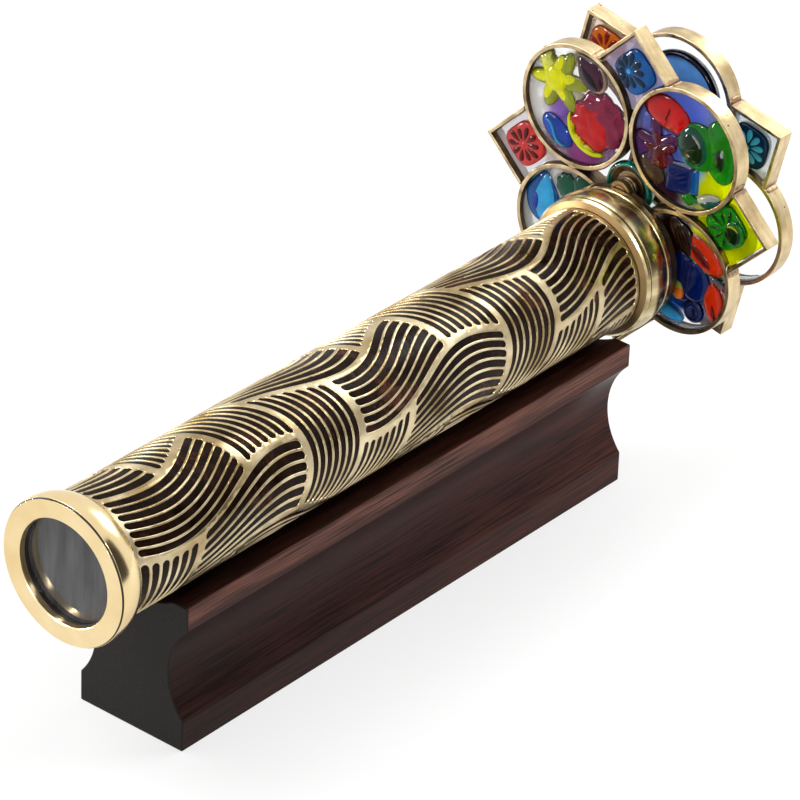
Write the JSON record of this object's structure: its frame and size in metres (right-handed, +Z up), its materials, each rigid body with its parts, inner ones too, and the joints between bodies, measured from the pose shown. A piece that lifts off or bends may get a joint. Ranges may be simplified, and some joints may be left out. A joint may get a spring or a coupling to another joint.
{
  "type": "kaleidoscope",
  "caption": "Brass tube kaleidoscope with pierced wave fretwork, turning gem wheels on an offset axle and a dark wooden cradle stand.",
  "frame": {"origin": "middle of the stand's underside, on the surface that the part stands on", "axes": "+Z up, +Y along the tube from the eyepiece to the wheels, +X to the right seen from the eyepiece"},
  "size_m": [0.1088, 0.278, 0.1408],
  "materials": {
    "dark_wood": "oiled dark hardwood with a fine grain, satin",
    "barrel_brass": "plain drawn tube, hidden",
    "dark_resin": "near-black brown cast resin, polished",
    "fret_brass": "pale polished brass fretwork",
    "polished_brass": "turned and polished",
    "antique_brass": "brushed, slightly darkened",
    "frame_brass": "brushed brass strip with solder spots",
    "window_glass": "clear, grey over the dark inside",
    "cell_resin": "clear cast resin with coloured glass set in it",
    "mirror_glass": "front-silvered strip glass",
    "packing_card": "black card",
    "teal_glass": "polished teal ring",
    "red_glass": "moulded tile",
    "blue_glass": "moulded tile",
    "green_glass": "moulded tile",
    "orange_glass": "moulded tile",
    "cyan_glass": "moulded tile"
  },
  "bodies": {
    "stand": {"stand_block": "dark_wood"},
    "scope": {"barrel_tube": "barrel_brass", "resin_inlay": "dark_resin", "fret_sleeve": "fret_brass", "eyepiece_ring": "polished_brass", "eyepiece_window": "window_glass", "mirror_strip_1": "mirror_glass", "mirror_strip_2": "mirror_glass", "mirror_strip_3": "mirror_glass", "mirror_wrap": "packing_card", "end_cap_ring": "polished_brass", "end_plate": "antique_brass", "end_window": "window_glass", "axle_pin": "antique_brass", "front_spacer": "antique_brass", "wheel_spacer": "antique_brass", "end_washer": "antique_brass", "end_nut": "polished_brass"},
    "near_wheel": {"near_ring_upper_right": "frame_brass", "near_lens_upper_right": "cell_resin", "near_ring_upper_left": "frame_brass", "near_lens_upper_left": "cell_resin", "near_ring_lower_left": "frame_brass", "near_lens_lower_left": "cell_resin", "near_ring_lower_right": "frame_brass", "near_lens_lower_right": "cell_resin", "near_diamond_right": "frame_brass", "near_tile_right": "green_glass", "near_diamond_top": "frame_brass", "near_tile_top": "blue_glass", "near_diamond_left": "frame_brass", "near_tile_left": "red_glass", "near_diamond_bottom": "frame_brass", "near_tile_bottom": "orange_glass", "near_hub_bush": "antique_brass", "near_hub_glass": "teal_glass"},
    "far_wheel": {"far_ring_top": "frame_brass", "far_lens_top": "cell_resin", "far_ring_left": "frame_brass", "far_lens_left": "cell_resin", "far_ring_bottom": "frame_brass", "far_lens_bottom": "cell_resin", "far_ring_right": "frame_brass", "far_lens_right": "cell_resin", "far_diamond_upper_right": "frame_brass", "far_tile_upper_right": "cyan_glass", "far_diamond_upper_left": "frame_brass", "far_tile_upper_left": "orange_glass", "far_diamond_lower_left": "frame_brass", "far_tile_lower_left": "red_glass", "far_diamond_lower_right": "frame_brass", "far_tile_lower_right": "blue_glass", "far_hub_bush": "antique_brass", "far_hub_glass": "teal_glass"}
  },
  "joints": [
    {"name": "scope_lift", "type": "slide", "parent": "stand", "child": "scope", "axis": [0, 0, 1], "range_m": [0, 0.06]},
    {"name": "near_wheel_turn", "type": "hinge", "parent": "scope", "child": "near_wheel", "pos_m": [0, 0.124, 0.08635], "axis": [0, 1, 0], "continuous": true},
    {"name": "far_wheel_turn", "type": "hinge", "parent": "scope", "child": "far_wheel", "pos_m": [0, 0.1387, 0.08635], "axis": [0, 1, 0], "continuous": true}
  ]
}
